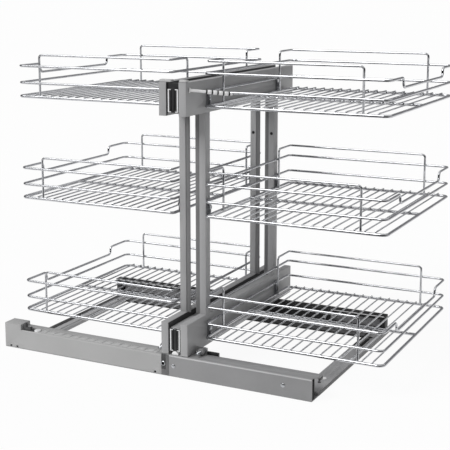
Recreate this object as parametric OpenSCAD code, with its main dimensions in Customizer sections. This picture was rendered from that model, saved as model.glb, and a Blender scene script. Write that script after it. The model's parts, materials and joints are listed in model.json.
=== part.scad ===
// Blind corner pull out: a sliding carriage on a floor base carries two basket frames that pull forward.
// X runs along the base, Y from front to back, Z up. The origin is under the middle of the whole unit.

/* [Baskets] */
// Basket width between its side wire centres
basket_w = 369; // [260:1:420]
// Basket depth between its front and back wire centres
basket_d = 415; // [390:1:430]
// From the front of the unit to the basket's front wire centre
basket_front = 64; // [55:1:68]
// From the bracket's outer face to the basket's inner wire centre
basket_gap = 7; // [6:0.5:12]
// Bend radius of the basket corners
basket_corner_r = 12; // [10:1:24]
// Bend radius of the baskets' inner corners, beside the frame
inner_corner_r = 8; // [7.5:0.5:12]
// Diameter of the bottom frame wire
frame_wire_d = 6; // [5:0.25:7]
// Diameter of the two guard wires that run all the way round
guard_wire_d = 5; // [4:0.25:6]
// Diameter of the wire of the front and back hoops
hoop_wire_d = 4.5; // [3.5:0.25:6]
// Diameter of the floor wires
floor_wire_d = 3.2; // [2.5:0.1:4]
// Number of floor wires
floor_wires = 17; // [9:1:19]
// Height of the lower guard wire above the bottom wire
low_guard_rise = 28.6; // [24:0.2:34]
// Height of the upper guard wire above the bottom wire
high_guard_rise = 63.5; // [56:0.5:72]
// Height of the hoops above the bottom wire
hoop_rise = 87; // [80:0.5:100]
// How far the upper guard wire dips on the outer side
dip_depth = 18; // [8:0.5:24]
// Straight length of the dip
dip_l = 245; // [150:1:270]
// From the basket's inner wire to the hoop's outer leg
hoop_reach = 318; // [200:1:330]
// Length of the hoop along the inner side
hoop_return = 70; // [50:1:120]

/* [Frames] */
// Length of the side brackets, front to back
bracket_l = 508; // [500:1:560]
// Width of a side bracket
bracket_w = 15.4; // [14:0.2:20]
// Height of a side bracket
bracket_h = 64; // [60:0.5:70]
// Sheet thickness of the brackets and posts
sheet_t = 1.5; // [1:0.1:2]
// Height of a frame, from the lower bracket's underside to the upper one's top
frame_h = 535; // [480:1:640]
// Width of a post's front face
post_w = 13.6; // [12:0.2:15]
// Depth of a post
post_d = 19; // [14:0.2:22]
// Width of the post's inner flange
post_flange_w = 9.25; // [6:0.25:11]
// From the basket's front wire centre to the front post
front_post_inset = 14; // [10:1:20]
// From the basket's back wire centre to the rear post's front
rear_post_inset = 72; // [64:1:99]
// Hole in the rear posts, above the middle basket's bottom wire
post_hole_rise = 121; // [100:1:140]
// Lowest basket's bottom wire above the lower bracket's underside
low_basket_rise = 21; // [19:0.5:24]
// Top basket's bottom wire above the upper bracket's underside
top_basket_rise = 14; // [10:0.5:20]
// Middle basket's bottom wire above the lowest basket's
middle_basket_rise = 248; // [200:1:290]

/* [Slides] */
// Thickness of one ball slide
slide_t = 12.7; // [12.2:0.1:15]
// Height of one ball slide
slide_h = 45; // [42:0.5:48]
// Sheet thickness of the slide members
slide_sheet = 1.2; // [0.9:0.05:1.4]
// Diameter of the slide balls
ball_d = 2.8; // [2.4:0.1:3]
// How far a frame pulls out
pull_travel = 450; // [300:5:460]
// Thickness of the plate between the two slides
beam_t = 2; // [1.5:0.1:3]

/* [Base] */
// Width of the base
base_w = 705; // [640:1:780]
// From the carriage to the base's left end
base_left = 414; // [410:1:430]
// Height of the front rail
rail_h = 45; // [40:0.5:50]
// Depth of the front rail
rail_d = 33; // [31:0.5:36]
// Sheet thickness of the base parts
base_t = 2; // [1.5:0.1:2.5]
// From the carriage to where the front rail's cover starts, on the left
cover_x = 30; // [29:0.5:34]
// Width of a side rail
side_rail_w = 36; // [28:0.5:44]
// Height of a side rail
side_rail_h = 8; // [7:0.25:9]
// Depth of the roller path along the back of the rail's cover
cover_path_d = 15.5; // [13:0.5:17]
// How far the front rail's top flange reaches past its right end
flange_over = 7; // [4:0.5:10]
// From the base's left end to the left side rail
left_rail_inset = 22; // [10:1:40]
// From the base's left end to the cross track
track_left_inset = 7; // [4:0.5:12]
// From the front of the unit to the cross track
track_y = 430; // [426:1:434]
// Depth of the cross track
track_d = 20; // [18:0.5:24]
// Height of the cross track
track_h = 36; // [32:0.5:37]
// Depth of the cross track's lips
track_lip = 8; // [6:0.25:10]
// Radius of the screw holes that hold the base to a cabinet floor
floor_hole_r = 2.75; // [2:0.05:3.5]

/* [Carriage] */
// Travel of the carriage to the left of this pose
travel_left = 322; // [250:1:324]
// Travel of the carriage to the right of this pose
travel_right = 110; // [60:1:130]
// Radius of the front rollers
roller_r = 7; // [6:0.1:7.4]
// From the carriage's middle to the right front roller; the left one runs close beside its bracket
roller_x = 47; // [44:0.5:52]
// How far the front foot reaches past the right front roller
foot_wing = 33; // [20:1:40]
// Radius of the axle pins
axle_r = 3; // [2.5:0.05:3.2]

/* [Hidden] */
$fn = 48;
left = -1;
right = 1;

// Clearances
run_gap = 1;
fit_gap = 0.3;
bore_gap = 0.05;
hole_gap = 0.1;
weld = 0.5;

// Frame layout, from the carriage's middle plane
slide_x = beam_t / 2;
bracket_x = slide_x + slide_t;
frame_half = bracket_x + bracket_w;
bracket_z = rail_h + run_gap;
top_bracket_z = bracket_z + frame_h - bracket_h;
post_l = top_bracket_z - bracket_z - bracket_h;
low_tier_z = bracket_z + low_basket_rise;
middle_tier_z = low_tier_z + middle_basket_rise;
top_tier_z = top_bracket_z + top_basket_rise;

// Basket layout, from the basket's inner front corner
hoop_inset = (guard_wire_d + hoop_wire_d) / 2 - weld;
hoop_bend_r = 7;
dip_bend_r = dip_depth / 2;
dip_y = (basket_d - dip_l) / 2 - dip_bend_r;
floor_z = (frame_wire_d + floor_wire_d) / 2 - weld;
floor_pitch = basket_w / (floor_wires + 1);
hook_w = 10;
hook_overlap = 2;
hook_hole_z = low_guard_rise / 2;
screw_r = 2.4;
screw_head_r = 4.2;
screw_head_h = 2.4;
front_post_y = basket_front + front_post_inset;
rear_post_y = basket_front + basket_d - rear_post_inset;
front_hook_y = front_post_y + post_d / 2;
rear_hook_y = rear_post_y + post_d / 2;

// Whole unit
half_span = frame_half + basket_gap + basket_w + frame_wire_d / 2;
carriage_x = (base_left - half_span) / 2;

// Base layout, from the carriage's middle plane
base_x0 = -base_left;
base_x1 = base_w - base_left;
rail_lip = 8;
left_rail_x = base_x0 + left_rail_inset;
right_rail_x = base_x1 - side_rail_w;
track_end_inset = 2;
track_x0 = base_x0 + track_left_inset;
track_x1 = base_x1 - track_end_inset;
side_rail_end = track_y + track_d + 3;
floor_hole_front = 106;
floor_hole_rear = 380;
stop_l = 12;
base_screw_r = 2.5;
base_screw_inset = 8;

// Slide layout, from the middle height of a slide and the plate that it is fixed to
slide_end_gap = 6;
slide_drop = 3;
fixed_half = slide_h / 2;
ball_room = ball_d + 0.4;
middle_half = fixed_half - slide_sheet - ball_room;
moving_half = middle_half - slide_sheet - ball_room;
member_gap = 1.5;
middle_x = slide_sheet + member_gap;
lip_end = slide_t - 2;
moving_lip_x = middle_x + slide_sheet + member_gap;
middle_inset = 12;
cage_l = bracket_l - 2 * slide_end_gap - middle_inset - pull_travel / 2;
cage_t = 0.8;
cage_balls = 7;

// Front ends of the slides: a cap on the beam, and a buffer with its trim in each moving member
nose_front = 3;
nose_half = slide_x + middle_x - fit_gap;
nose_tongue = 10;
buffer_x0 = nose_half + run_gap;
buffer_x1 = bracket_x - run_gap;
buffer_half = fixed_half - 0.5;
buffer_plug_l = 18;
trim_t = 0.8;
trim_x = 8.4;
trim_w = 2.6;
trim_return_h = 1.6;

// Carriage layout
beam_flange_w = 24;
beam_cap_w = 21;
beam_z = bracket_z + 4;
beam_flange_t = 2;
glide_r = 7;
glide_l = 22;
foot_t = 2.5;
foot_tab_l = 24;
foot_margin = 15;
foot_wing_rise = 5;
foot_ear_rise = 12;
front_foot_y = rail_d + 3;
front_foot_drop = 25;
left_roller_x = -(frame_half + run_gap + roller_r);
roller_xs = [left_roller_x, roller_x];
roller_w = 10;
roller_y = rail_d - 14;
roller_z = rail_h + fit_gap + roller_r;
axle_shoulder_r = 4.5;
axle_tail_r = axle_r - 0.5;
axle_head_r = 4.5;
axle_head_h = 1.6;
axle_front_y = 6;
wheel_r = track_h / 2 - base_t - fit_gap;
wheel_w = 12;
wheel_z = side_rail_h + base_t + fit_gap + wheel_r;
wheel_y = track_y + (track_d - wheel_w) / 2;
rear_foot_y = track_y - 8;
left_wheel_x = track_x0 + stop_l + travel_left + wheel_r + run_gap;
right_wheel_x = track_x1 - stop_l - travel_right - wheel_r - run_gap;

// Catch layout: the cradle takes the left axle pin at the end of the carriage's travel
catch_x = left_roller_x - travel_left;
catch_pivot_x = catch_x + 8;
catch_pivot_z = rail_h - 9;
catch_pivot_r = 2.5;
catch_y = 5.5;
catch_t = 7.5;
catch_reach = 9;
catch_wall = 4;
catch_lip_x = axle_r + 1;
catch_lip = 3;
cover_wall = 2.5;
cover_edge_r = 4;
cover_step_y = rail_d - cover_path_d;
cover_step = 3;
end_block_h = rail_h + 8;
end_block_x = catch_x - catch_reach - 5;
rib_pitch = 20;
rib_w = 13;
rib_h = 1.2;
cover_notch_w = 5;
cover_notch_h = 4;
cover_notch_inset = 12;
cover_notch_pitch = 16;

// Helpers

function unit(v) = v / norm(v);
function square_to(d) = unit(cross(abs(d[2]) < 0.9 ? [0, 0, 1] : [1, 0, 0], d));
function before(p, i) = p[(i + len(p) - 1) % len(p)];
function after(p, i) = p[(i + 1) % len(p)];
function turn(p, i) = acos(unit(p[i] - before(p, i)) * unit(after(p, i) - p[i]));
function cut_back(p, r, i) = r[i] == 0 ? 0 : r[i] * tan(turn(p, i) / 2);

// Moves the carriage's layout into the unit's own frame
module placed() {
  translate([carriage_x, -bracket_l / 2, 0]) children();
}

// Mirrors a right-hand shape for the left side
module on_side(side) {
  if (side < 0) mirror([1, 0, 0]) children();
  else children();
}

// Sets local axes x, y and z at a point
module in_axes(x, y, z, p) {
  multmatrix([[x[0], y[0], z[0], p[0]], [x[1], y[1], z[1], p[1]], [x[2], y[2], z[2], p[2]]]) children();
}

// Extrudes a profile drawn in (y, z) along X
module extrude_x(x0, x1) {
  translate([x0, 0, 0]) rotate([90, 0, 90]) linear_extrude(x1 - x0) children();
}

// Extrudes a profile drawn in (x, z) along Y
module extrude_y(y0, y1) {
  translate([0, y1, 0]) rotate([90, 0, 0]) linear_extrude(y1 - y0) children();
}

// Turns local Z towards +Y
module facing_back(x, y, z) {
  translate([x, y, z]) rotate([-90, 0, 0]) children();
}

// Turns local Z towards +X
module facing_right(x, y, z) {
  translate([x, y, z]) rotate([0, 90, 0]) children();
}

// Straight wire between two points, with nothing where two bends meet
module rod(p, q, d) {
  l = norm(q - p);
  if (l > bore_gap) {
    z = (q - p) / l;
    x = square_to(z);
    in_axes(x, cross(z, x), z, p) cylinder(d = d, h = l);
  }
}

// Round bend of a wire at corner i of a path
module bend(p, r, d, i) {
  u = unit(p[i] - before(p, i));
  v = unit(after(p, i) - p[i]);
  w = unit(v - u * (u * v));
  centre = p[i] - u * cut_back(p, r, i) + w * r[i];
  in_axes(-w, u, cross(u, w), centre)
    rotate_extrude(angle = turn(p, i)) translate([r[i], 0]) circle(d = d);
}

// Wire along a path of corners p, with a bend radius for each corner
module wire(p, r, d, closed = false) {
  n = len(p);
  for (i = [0:(closed ? n - 1 : n - 2)]) {
    u = unit(after(p, i) - p[i]);
    rod(p[i] + u * cut_back(p, r, i), after(p, i) - u * cut_back(p, r, (i + 1) % n), d);
  }
  for (i = [(closed ? 0 : 1):(closed ? n - 1 : n - 2)]) bend(p, r, d, i);
}

// Base

module front_rail() {
  color("#909090") {
    extrude_x(-cover_x, base_x1) polygon([
      [0, 0], [rail_d, 0], [rail_d, base_t], [base_t, base_t], [base_t, rail_h - base_t],
      [rail_d - base_t, rail_h - base_t], [rail_d - base_t, rail_h - rail_lip], [rail_d, rail_h - rail_lip],
      [rail_d, rail_h], [0, rail_h]
    ]);
    extrude_x(base_x1, base_x1 + flange_over) polygon([
      [rail_lip, rail_h - base_t], [rail_d - base_t, rail_h - base_t], [rail_d - base_t, rail_h - rail_lip],
      [rail_d, rail_h - rail_lip], [rail_d, rail_h], [rail_lip, rail_h]
    ]);
    extrude_x(base_x0, -cover_x) square([rail_d, base_t]);
  }
}

// Outer outline of the cover in (y, z): a low ribbed front strip and a level roller path behind it
module cover_outline(wall) {
  step_z = rail_h - cover_step - wall;
  translate([wall, base_t]) square([rail_d - 2 * wall, step_z - base_t - cover_edge_r]);
  translate([wall + cover_edge_r, base_t]) square([rail_d - 2 * wall - cover_edge_r, step_z - base_t]);
  translate([wall + cover_edge_r, step_z - cover_edge_r]) circle(cover_edge_r);
  translate([cover_step_y + wall, base_t]) square([rail_d - 2 * wall - cover_step_y, rail_h - wall - base_t]);
}

module front_cover() {
  ribs_x0 = catch_pivot_x + 3 * catch_reach;
  ribs = floor((-cover_x - ribs_x0) / rib_pitch);
  notch_x = base_x0 + cover_notch_inset;
  color("#a6a6a6") difference() {
    union() {
      extrude_x(base_x0, -cover_x - hole_gap) cover_outline(0);
      extrude_x(base_x0, end_block_x) translate([0, base_t]) square([rail_d, end_block_h - base_t]);
      for (i = [0:ribs - 1])
        translate([ribs_x0 + i * rib_pitch, cover_edge_r, rail_h - cover_step - weld])
          cube([rib_w, cover_step_y - cover_edge_r, rib_h + weld]);
    }
    extrude_x(end_block_x + cover_wall, -cover_x - cover_wall) cover_outline(cover_wall);
    extrude_x(base_x0 + cover_wall, end_block_x - cover_wall)
      translate([cover_wall, base_t]) square([rail_d - 2 * cover_wall, end_block_h - cover_wall - base_t]);
    translate([end_block_x, cover_wall, rail_h - cover_step - cover_wall - cover_edge_r])
      cube([catch_pivot_x + 2 * catch_reach - end_block_x, cover_step_y - cover_wall, rail_h]);
    for (x = [notch_x, notch_x + cover_notch_pitch, -cover_x - cover_notch_inset - cover_notch_w])
      translate([x, -1, base_t - 1]) cube([cover_notch_w, cover_wall + 2, cover_notch_h + 1]);
  }
}

module side_rail(x) {
  w = side_rail_w;
  h = side_rail_h;
  color("#8c8c8c") difference() {
    translate([x, 0, 0]) extrude_y(rail_d, side_rail_end) polygon([
      [0, 0], [base_t, 0], [base_t, h - base_t], [w - base_t, h - base_t],
      [w - base_t, 0], [w, 0], [w, h], [0, h]
    ]);
    for (y = [floor_hole_front, floor_hole_rear])
      translate([x + w / 2, y, 0]) cylinder(r = floor_hole_r, h = h + 1);
    for (dx = [base_screw_inset, w - base_screw_inset])
      translate([x + dx, track_y + track_d / 2, 0]) cylinder(r = base_screw_r + hole_gap, h = h + 1);
  }
}

module cross_track() {
  d = track_d;
  h = track_h;
  t = base_t;
  color("#3a3a3c") difference() {
    translate([0, track_y, side_rail_h]) extrude_x(track_x0, track_x1) polygon([
      [0, 0], [d, 0], [d, h], [0, h], [0, h - track_lip], [t, h - track_lip], [t, h - t], [d - t, h - t],
      [d - t, t], [t, t], [t, track_lip], [0, track_lip]
    ]);
    for (x = [left_rail_x, right_rail_x], dx = [base_screw_inset, side_rail_w - base_screw_inset])
      translate([x + dx, track_y + track_d / 2, side_rail_h - 1])
        cylinder(r = base_screw_r + hole_gap, h = base_t + 2);
  }
}

module track_end_stops() {
  inner_h = track_h - 2 * base_t - fit_gap;
  inner_d = track_d - 2 * base_t - 2 * fit_gap;
  color("#1c1c1c")
    for (x = [track_x0, track_x1 - stop_l])
      translate([x, track_y + base_t + fit_gap, side_rail_h + base_t]) cube([stop_l, inner_d, inner_h]);
}

module base_screws() {
  head_h = 3;
  color("#b0b0b0")
    for (x = [left_rail_x, right_rail_x], dx = [base_screw_inset, side_rail_w - base_screw_inset])
      translate([x + dx, track_y + track_d / 2, 0]) {
        translate([0, 0, side_rail_h - base_t - head_h]) cylinder(r = base_screw_r + 2, h = head_h);
        translate([0, 0, side_rail_h - base_t]) cylinder(r = base_screw_r, h = 2 * base_t);
      }
}

module catch_pin() {
  color("#b8b8b8") facing_back(catch_pivot_x, cover_wall, catch_pivot_z)
    cylinder(r = catch_pivot_r, h = rail_d - 2 * cover_wall);
}

// Rocking cradle: a high outer wall, a low inner lip and a hub on the pivot
module catch_cradle() {
  floor_top = roller_z - axle_r - 2;
  color("#4a4a4c") difference() {
    extrude_y(catch_y, catch_y + catch_t) {
      translate([catch_pivot_x, catch_pivot_z]) circle(2.5 * catch_pivot_r);
      translate([catch_x - catch_reach, catch_pivot_z])
        square([catch_reach + catch_lip_x + catch_lip, floor_top - catch_pivot_z]);
      translate([catch_x - catch_reach, catch_pivot_z])
        square([catch_wall, roller_z + catch_wall - catch_pivot_z]);
      translate([catch_x + catch_lip_x, catch_pivot_z]) square([catch_lip, floor_top + 1.5 - catch_pivot_z]);
    }
    facing_back(catch_pivot_x, 0, catch_pivot_z) cylinder(r = catch_pivot_r + bore_gap, h = rail_d);
  }
}

// Carriage

// Middle height of the ball slide in the lower or the upper bracket, a little below the bracket's own
function slide_z(z) = z + bracket_h / 2 - slide_drop;

// Web between two slides with a flange over them, and a notch in its front end for a cap's tongue
module slide_web(z, low_w, low_z) {
  cap_z = slide_z(z) + fixed_half + fit_gap;
  color("#8a8a8a") difference() {
    extrude_y(slide_end_gap, bracket_l - slide_end_gap) {
      translate([-low_w / 2, low_z]) square([low_w, beam_flange_t]);
      translate([-beam_t / 2, low_z]) square([beam_t, cap_z + beam_flange_t - low_z]);
      translate([-beam_cap_w / 2, cap_z]) square([beam_cap_w, beam_flange_t]);
    }
    translate([-beam_t / 2 - 1, slide_end_gap - 1, slide_z(z) - nose_tongue])
      cube([beam_t + 2, nose_tongue + 1, 2 * nose_tongue]);
  }
}

module carriage_beam() {
  slide_web(bracket_z, beam_flange_w, beam_z);
}

module top_link() {
  slide_web(top_bracket_z, beam_cap_w, slide_z(top_bracket_z) - fixed_half - fit_gap - beam_flange_t);
}

// Moulded caps on the front ends of the two webs, with a head that closes the gap above the upper slides
module nose_caps() {
  head_half = bracket_x - run_gap;
  head_z = slide_z(top_bracket_z) + buffer_half + fit_gap;
  color("#1c1c1c") {
    translate([-head_half, nose_front, head_z])
      cube([2 * head_half, slide_end_gap - nose_front, top_bracket_z + bracket_h - run_gap - head_z]);
    for (z = [slide_z(bracket_z), slide_z(top_bracket_z)]) {
      translate([-nose_half, nose_front, z - fixed_half])
        cube([2 * nose_half, slide_end_gap - nose_front, slide_h]);
      translate([-beam_t / 2, slide_end_gap - weld, z - nose_tongue])
        cube([beam_t, nose_tongue + weld, 2 * nose_tongue]);
    }
  }
}

// Nylon glide under the beam's front end, with a round nose
module front_glide() {
  foot_z = rail_h + fit_gap;
  color("#e4e4e0") {
    intersection() {
      extrude_y(nose_front - 1, slide_end_gap) translate([0, foot_z]) circle(glide_r);
      translate([-glide_r, 0, foot_z]) cube([2 * glide_r, rail_d, 2 * glide_r]);
    }
    translate([-glide_r, slide_end_gap - weld, foot_z]) cube([2 * glide_r, glide_l, beam_z - foot_z]);
  }
}

module front_foot() {
  plate_top = bracket_z - run_gap;
  ear_w = 2 * roller_r;
  plate_x0 = left_roller_x - foot_margin;
  plate_x1 = roller_x + foot_wing;
  color("#6e6e70") difference() {
    union() {
      extrude_y(front_foot_y, front_foot_y + foot_t) {
        translate([plate_x0, plate_top - front_foot_drop]) square([plate_x1 - plate_x0, front_foot_drop]);
        translate([-beam_flange_w / 2, plate_top - weld]) square([beam_flange_w, beam_z - plate_top + weld]);
        translate([roller_x, plate_top - weld]) square([foot_wing, foot_wing_rise + weld]);
        translate([frame_half + run_gap, plate_top - weld])
          square([roller_x + roller_r - frame_half - run_gap, foot_ear_rise + weld]);
        translate([left_roller_x - ear_w / 2, plate_top - weld]) square([ear_w, roller_z - plate_top + weld]);
        translate([left_roller_x, roller_z]) circle(ear_w / 2);
      }
      translate([-beam_flange_w / 2, front_foot_y, beam_z - foot_t])
        cube([beam_flange_w, foot_tab_l, foot_t]);
    }
    for (x = roller_xs)
      facing_back(x, front_foot_y - 1, roller_z) cylinder(r = axle_tail_r + bore_gap, h = foot_t + 2);
  }
}

module rear_foot() {
  plate_top = bracket_z - run_gap;
  margin = 14;
  bottom = side_rail_h + track_lip + 1;
  color("#6e6e70") difference() {
    union() {
      extrude_y(rear_foot_y, rear_foot_y + foot_t) {
        translate([left_wheel_x - margin, bottom])
          square([right_wheel_x - left_wheel_x + 2 * margin, plate_top - bottom]);
        translate([-beam_flange_w / 2, plate_top - weld]) square([beam_flange_w, beam_z - plate_top + weld]);
      }
      translate([-beam_flange_w / 2, rear_foot_y - foot_tab_l, beam_z - foot_t])
        cube([beam_flange_w, foot_tab_l + foot_t, foot_t]);
    }
    for (x = [left_wheel_x, right_wheel_x])
      facing_back(x, rear_foot_y - 1, wheel_z) cylinder(r = axle_tail_r + bore_gap, h = foot_t + 2);
  }
}

// Stepped axle pin along +Z: a peened head, a tail through a plate, a shoulder and the running shank
module axle_pin(plate_t, shoulder_l, shank_l) {
  translate([0, 0, -plate_t - axle_head_h]) cylinder(r = axle_head_r, h = axle_head_h);
  translate([0, 0, -plate_t - axle_head_h]) cylinder(r = axle_tail_r, h = plate_t + axle_head_h + shoulder_l);
  cylinder(r = axle_shoulder_r, h = shoulder_l);
  cylinder(r = axle_r, h = shoulder_l + shank_l);
}

module roller_axles() {
  shoulder = front_foot_y - roller_y - roller_w - fit_gap;
  shank = roller_y + roller_w + fit_gap - axle_front_y;
  color("#b8b8b8")
    for (x = roller_xs)
      translate([x, front_foot_y, roller_z]) rotate([90, 0, 0]) axle_pin(foot_t, shoulder, shank);
}

module wheel_axles() {
  shoulder = wheel_y - rear_foot_y - foot_t - fit_gap;
  color("#b8b8b8")
    for (x = [left_wheel_x, right_wheel_x])
      facing_back(x, rear_foot_y + foot_t, wheel_z) axle_pin(foot_t, shoulder, wheel_w + fit_gap);
}

// Wheel with a bore, turned from one outline
module wheel(r, w) {
  edge = 1;
  bore = axle_r + bore_gap;
  rotate_extrude() polygon([[bore, 0], [r - edge, 0], [r, edge], [r, w - edge], [r - edge, w], [bore, w]]);
}

module front_roller(x) {
  color("#d8d8d8") facing_back(x, roller_y, roller_z) wheel(roller_r, roller_w);
}

module track_wheel(x) {
  color("#d0d0d0") facing_back(x, wheel_y, wheel_z) wheel(wheel_r, wheel_w);
}

// Ball slides: members are nested channels with a row of balls between their lips

// Channel profile in (x, z) with its web at x0 or at x1
module channel(x0, x1, half, web_at) {
  translate([web_at, -half]) square([slide_sheet, 2 * half]);
  for (z = [-half, half - slide_sheet]) translate([x0, z]) square([x1 - x0, slide_sheet]);
}

module slide_member(side, z, inset, x0, x1, half, web_at, tint) {
  color(tint) on_side(side) translate([slide_x, 0, slide_z(z)])
    extrude_y(slide_end_gap + inset, bracket_l - slide_end_gap - inset) channel(x0, x1, half, web_at);
}

module slide_fixed(side, z) {
  slide_member(side, z, 0, 0, lip_end, fixed_half, 0, "#c4c4c4");
}

module slide_middle(side, z) {
  slide_member(side, z, middle_inset, middle_x, lip_end, middle_half, middle_x, "#bcbcbc");
}

module slide_moving(side, z) {
  slide_member(side, z, 0, moving_lip_x, slide_t, moving_half, slide_t - slide_sheet, "#c8c8c8");
}

// Cage strip with its balls, centred on height z
module ball_cage(y0, z) {
  x = (moving_lip_x + lip_end) / 2;
  w = (lip_end - moving_lip_x) - 1;
  pitch = cage_l / cage_balls;
  translate([x - w / 2, y0, z - cage_t / 2]) cube([w, cage_l, cage_t]);
  for (i = [0:cage_balls - 1]) translate([x, y0 + pitch * (i + 0.5), z]) sphere(d = ball_d);
}

// Four cages in one slide: the outer races run at the rear of the middle member, the inner ones at its front
module slide_balls(side, z) {
  outer = fixed_half - slide_sheet - ball_room / 2;
  inner = middle_half - slide_sheet - ball_room / 2;
  color("#e0e0e0") on_side(side) translate([slide_x, 0, slide_z(z)])
    for (sign = [-1, 1]) {
      ball_cage(bracket_l - slide_end_gap - middle_inset - cage_l, sign * outer);
      ball_cage(slide_end_gap + middle_inset, sign * inner);
    }
}

// Buffers that plug the front ends of a frame's two moving members
module slide_buffers(side) {
  back = slide_end_gap - fit_gap;
  web_x = bracket_x - slide_sheet;
  plug_x = slide_x + moving_lip_x + fit_gap;
  plug_half = moving_half - slide_sheet - fit_gap;
  color("#1c1c1c") on_side(side)
    for (z = [slide_z(bracket_z), slide_z(top_bracket_z)]) {
      translate([buffer_x0, nose_front, z - buffer_half])
        cube([buffer_x1 - buffer_x0, back - nose_front, 2 * buffer_half]);
      translate([plug_x, back - weld, z - plug_half])
        cube([web_x - plug_x, buffer_plug_l + weld, 2 * plug_half]);
    }
}

// Bright edge strips on the buffers, turned in at both ends
module slide_trims(side) {
  color("#d0d0d0") on_side(side)
    for (z = [slide_z(bracket_z), slide_z(top_bracket_z)])
      translate([0, 0, z]) extrude_y(nose_front - trim_t, nose_front) {
        translate([trim_x, -buffer_half]) square([trim_w, 2 * buffer_half]);
        for (end = [-buffer_half, buffer_half - trim_return_h])
          translate([buffer_x0, end]) square([trim_x - buffer_x0 + weld, trim_return_h]);
      }
}

// Frames

// Screw hole through the outer wall of a bracket or post, seen from inside
module outer_wall_hole(y, z) {
  facing_right(frame_half - sheet_t - 1, y, z) cylinder(r = screw_r + hole_gap, h = sheet_t + 2);
}

// Folded box with a closed front end
module bracket(side, z, tier_z) {
  color("#8e8e8e") on_side(side) difference() {
    translate([bracket_x, 0, z]) cube([bracket_w, bracket_l, bracket_h]);
    translate([bracket_x + sheet_t, sheet_t, z + sheet_t])
      cube([bracket_w - 2 * sheet_t, bracket_l, bracket_h - 2 * sheet_t]);
    for (y = [front_hook_y, rear_hook_y]) outer_wall_hole(y, tier_z + hook_hole_z);
  }
}

// Rolled section in (x, y): a channel with a flange on its inner side, one sheet behind its front face
module post_section() {
  t = sheet_t;
  x0 = frame_half - post_w;
  translate([x0 - post_flange_w, t]) square([post_flange_w + t, t]);
  translate([x0, 0]) square([t, post_d - t]);
  translate([x0, 0]) square([post_w, t]);
  translate([frame_half - t, 0]) square([t, post_d]);
  translate([frame_half - post_w / 2, post_d - t]) square([post_w / 2, t]);
}

module post(side, y, front_hole) {
  front_hole_z = middle_tier_z + post_hole_rise;
  color("#929292") on_side(side) difference() {
    translate([0, y, bracket_z + bracket_h]) linear_extrude(post_l) post_section();
    outer_wall_hole(y + post_d / 2, middle_tier_z + hook_hole_z);
    if (front_hole)
      facing_back(frame_half - post_w / 2, y - 1, front_hole_z)
        cylinder(r = screw_r + hole_gap, h = sheet_t + 2);
  }
}

// Hoop that rises at the front or back, turns the inner corner and comes down on the inner side
module hoop(y_side, y_leg) {
  foot = -weld;
  p = [
    [hoop_reach, y_side, foot], [hoop_reach, y_side, hoop_rise], [hoop_inset, y_side, hoop_rise],
    [hoop_inset, y_leg, hoop_rise], [hoop_inset, y_leg, foot]
  ];
  wire(p, [0, hoop_bend_r, inner_corner_r - hoop_inset, hoop_bend_r, 0], hoop_wire_d);
}

// Plate welded across the inner wires, which seats on the bracket or post
module hook_plate(y) {
  x1 = -guard_wire_d / 2 + weld;
  difference() {
    translate([-basket_gap, y - hook_w / 2, -hook_overlap])
      cube([x1 + basket_gap, hook_w, low_guard_rise + 2 * hook_overlap]);
    facing_right(-basket_gap - 1, y, hook_hole_z) cylinder(r = screw_r + hole_gap, h = basket_gap + 2);
  }
}

module basket_wires() {
  w = basket_w;
  d = basket_d;
  r = basket_corner_r;
  ri = inner_corner_r;
  high = high_guard_rise;
  low = high - dip_depth;
  wire([[0, 0, 0], [w, 0, 0], [w, d, 0], [0, d, 0]], [ri, r, r, ri], frame_wire_d, true);
  translate([0, 0, low_guard_rise])
    wire([[0, 0, 0], [w, 0, 0], [w, d, 0], [0, d, 0]], [ri, r, r, ri], guard_wire_d, true);
  wire(
    [
      [0, 0, high], [w, 0, high], [w, dip_y, high], [w, dip_y, low],
      [w, d - dip_y, low], [w, d - dip_y, high], [w, d, high], [0, d, high]
    ],
    [ri, r, dip_bend_r, dip_bend_r, dip_bend_r, dip_bend_r, r, ri], guard_wire_d, true
  );
  hoop(hoop_inset, hoop_return);
  hoop(d - hoop_inset, d - hoop_return);
  rod([0, d / 2, 0], [w, d / 2, 0], frame_wire_d);
  for (i = [1:floor_wires])
    rod([i * floor_pitch, -weld, floor_z], [i * floor_pitch, d + weld, floor_z], floor_wire_d);
  hook_plate(front_hook_y - basket_front);
  hook_plate(rear_hook_y - basket_front);
}

module basket(side, tier_z) {
  color("#d2d2d4") on_side(side) translate([frame_half + basket_gap, basket_front, tier_z]) basket_wires();
}

module basket_screws(side) {
  plate = basket_gap - guard_wire_d / 2 + weld;
  color("#c0c0c0") on_side(side)
    for (z = [low_tier_z, middle_tier_z, top_tier_z], y = [front_hook_y, rear_hook_y])
      translate([0, y, z + hook_hole_z]) {
        facing_right(frame_half + plate, 0, 0) cylinder(r = screw_head_r, h = screw_head_h);
        facing_right(frame_half - 3 * sheet_t, 0, 0) cylinder(r = screw_r, h = plate + 3 * sheet_t);
      }
}

placed() front_rail();
placed() front_cover();
placed() side_rail(left_rail_x);  // left_side_rail
placed() side_rail(right_rail_x);  // right_side_rail
placed() cross_track();
placed() track_end_stops();
placed() base_screws();
placed() catch_pin();
placed() catch_cradle();

placed() carriage_beam();
placed() front_foot();
placed() rear_foot();
placed() roller_axles();
placed() wheel_axles();
placed() top_link();
placed() nose_caps();
placed() front_glide();
placed() front_roller(left_roller_x);  // left_front_roller
placed() front_roller(roller_x);  // right_front_roller
placed() track_wheel(left_wheel_x);  // left_track_wheel
placed() track_wheel(right_wheel_x);  // right_track_wheel

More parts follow.
